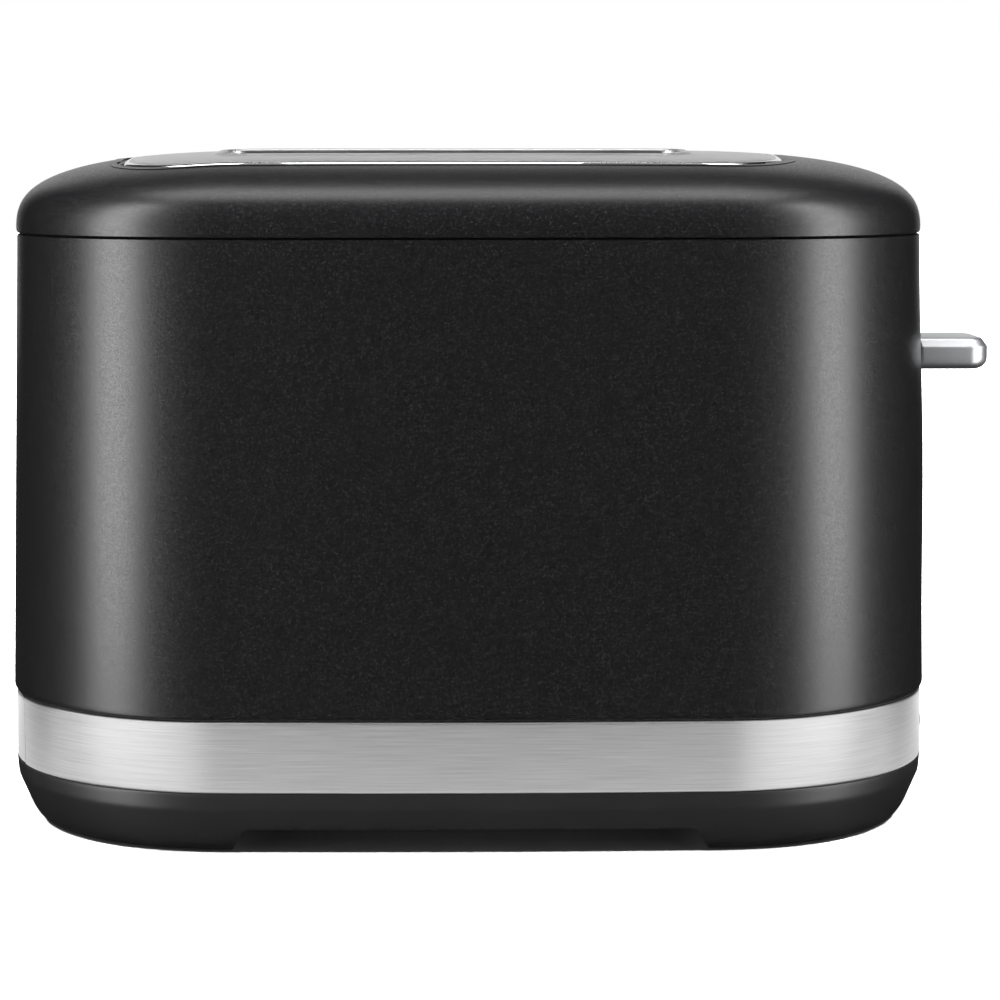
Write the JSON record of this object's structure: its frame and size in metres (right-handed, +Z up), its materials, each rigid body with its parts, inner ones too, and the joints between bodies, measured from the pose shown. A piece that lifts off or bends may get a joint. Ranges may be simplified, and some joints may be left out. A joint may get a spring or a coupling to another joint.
{
  "type": "pop-up toaster",
  "caption": "Pop-up toaster with bread slots in a crowned steel panel, a lift lever, wire bread cages, push-buttons and a slide-out crumb tray.",
  "frame": {"origin": "bottom centre of the whole object's box, lever included, on the table plane", "axes": "+Z up, +X along the length towards the lever, +Y towards the rear long side"},
  "size_m": [0.2886, 0.178, 0.195],
  "materials": {
    "black_plastic": "moulded, fine satin grain",
    "foot_rubber": "moulded, matte",
    "screw_steel": "zinc plated",
    "brushed_steel": "brushed along its length",
    "black_paint": "satin black paint with a very fine metallic sparkle",
    "black_cap": "satin black paint with a very fine sparkle",
    "galvanised_sheet": "galvanised",
    "rod_steel": "bright drawn wire",
    "satin_aluminium": "satin, bead blasted",
    "magnet_iron": "pressed laminations",
    "coil_wire": "enamelled winding wire",
    "switch_plastic": "moulded",
    "circuit_board": "laminate with a green mask",
    "component_plastic": "moulded cases",
    "terminal_plastic": "moulded",
    "clear_lens": "clear moulded light pipe",
    "bright_sheet": "bright aluminised sheet",
    "mica_sheet": "pressed mica",
    "heating_ribbon": "oxidised resistance ribbon",
    "button_plastic": "moulded, satin"
  },
  "bodies": {
    "chassis": {"base": "black_plastic", "foot_pads": "foot_rubber", "base_screws": "screw_steel", "steel_band": "brushed_steel", "body_wrap": "black_paint", "lever_slot_bezel": "black_plastic", "top_housing": "black_cap", "top_panel": "brushed_steel", "chassis_floor": "galvanised_sheet", "chassis_screws": "screw_steel", "end_plate_left": "galvanised_sheet", "end_plate_right": "galvanised_sheet", "top_frame": "galvanised_sheet", "guide_rods": "rod_steel", "magnet_core": "magnet_iron", "magnet_coil": "coil_wire", "return_spring": "rod_steel", "mains_switch": "switch_plastic", "main_board": "circuit_board", "board_components": "component_plastic", "terminal_block": "terminal_plastic", "cord_gland": "black_plastic", "tray_rails": "galvanised_sheet", "button_board": "circuit_board", "button_switches": "switch_plastic", "indicator_lenses": "clear_lens", "reflector_front": "bright_sheet", "reflector_rear": "bright_sheet", "heater_card_front": "mica_sheet", "heater_ribbon_front": "heating_ribbon", "heater_card_centre": "mica_sheet", "heater_ribbon_centre": "heating_ribbon", "heater_card_rear": "mica_sheet", "heater_ribbon_rear": "heating_ribbon"},
    "bread_lift": {"carriage": "galvanised_sheet", "lever_handle": "satin_aluminium", "keeper_plate": "magnet_iron", "bread_rack_front": "rod_steel", "bread_rack_rear": "rod_steel"},
    "crumb_tray": {"crumb_tray_pan": "galvanised_sheet", "crumb_tray_door": "brushed_steel"},
    "guide_cage_front_inner": {"guide_cage_front_inner": "rod_steel"},
    "guide_cage_front_outer": {"guide_cage_front_outer": "rod_steel"},
    "guide_cage_rear_inner": {"guide_cage_rear_inner": "rod_steel"},
    "guide_cage_rear_outer": {"guide_cage_rear_outer": "rod_steel"},
    "defrost_button": {"defrost_button": "button_plastic"},
    "bagel_button": {"bagel_button": "button_plastic"},
    "minus_button": {"minus_button": "button_plastic"},
    "plus_button": {"plus_button": "button_plastic"},
    "warm_button": {"warm_button": "button_plastic"},
    "cancel_button": {"cancel_button": "button_plastic"}
  },
  "joints": [
    {"name": "lever_slide", "type": "slide", "parent": "chassis", "child": "bread_lift", "axis": [0, 0, -1], "range_m": [-0.012, 0.062], "stiffness_N_per_m": 120, "springref_m": -0.0112, "deforming": ["return_spring"]},
    {"name": "crumb_tray_slide", "type": "slide", "parent": "chassis", "child": "crumb_tray", "axis": [-1, 0, 0], "range_m": [0, 0.18]},
    {"name": "guide_cage_front_inner_pivot", "type": "hinge", "parent": "chassis", "child": "guide_cage_front_inner", "pos_m": [0, -0.014, 0.047], "axis": [1, 0, 0], "range_deg": [-0.82, 4.03]},
    {"name": "guide_cage_front_outer_pivot", "type": "hinge", "parent": "chassis", "child": "guide_cage_front_outer", "pos_m": [0, -0.042, 0.047], "axis": [1, 0, 0], "range_deg": [-4.03, 0.82]},
    {"name": "guide_cage_rear_inner_pivot", "type": "hinge", "parent": "chassis", "child": "guide_cage_rear_inner", "pos_m": [0, 0.014, 0.047], "axis": [1, 0, 0], "range_deg": [-4.03, 0.82]},
    {"name": "guide_cage_rear_outer_pivot", "type": "hinge", "parent": "chassis", "child": "guide_cage_rear_outer", "pos_m": [0, 0.042, 0.047], "axis": [1, 0, 0], "range_deg": [-0.82, 4.03]},
    {"name": "defrost_button_press", "type": "slide", "parent": "chassis", "child": "defrost_button", "axis": [-1, 0, 0], "range_m": [0, 0.0012], "stiffness_N_per_m": 200, "springref_m": -0.003},
    {"name": "bagel_button_press", "type": "slide", "parent": "chassis", "child": "bagel_button", "axis": [-1, 0, 0], "range_m": [0, 0.0012], "stiffness_N_per_m": 200, "springref_m": -0.003},
    {"name": "minus_button_press", "type": "slide", "parent": "chassis", "child": "minus_button", "axis": [-1, 0, 0], "range_m": [0, 0.0012], "stiffness_N_per_m": 200, "springref_m": -0.003},
    {"name": "plus_button_press", "type": "slide", "parent": "chassis", "child": "plus_button", "axis": [-1, 0, 0], "range_m": [0, 0.0012], "stiffness_N_per_m": 200, "springref_m": -0.003},
    {"name": "warm_button_press", "type": "slide", "parent": "chassis", "child": "warm_button", "axis": [-1, 0, 0], "range_m": [0, 0.0012], "stiffness_N_per_m": 200, "springref_m": -0.003},
    {"name": "cancel_button_press", "type": "slide", "parent": "chassis", "child": "cancel_button", "axis": [-1, 0, 0], "range_m": [0, 0.0012], "stiffness_N_per_m": 200, "springref_m": -0.003}
  ],
  "couplings": [
    {"joint": "guide_cage_front_inner_pivot", "follows": "lever_slide", "rad_per_m": 1.12},
    {"joint": "guide_cage_front_outer_pivot", "follows": "lever_slide", "rad_per_m": -1.12},
    {"joint": "guide_cage_rear_inner_pivot", "follows": "lever_slide", "rad_per_m": -1.12},
    {"joint": "guide_cage_rear_outer_pivot", "follows": "lever_slide", "rad_per_m": 1.12}
  ]
}
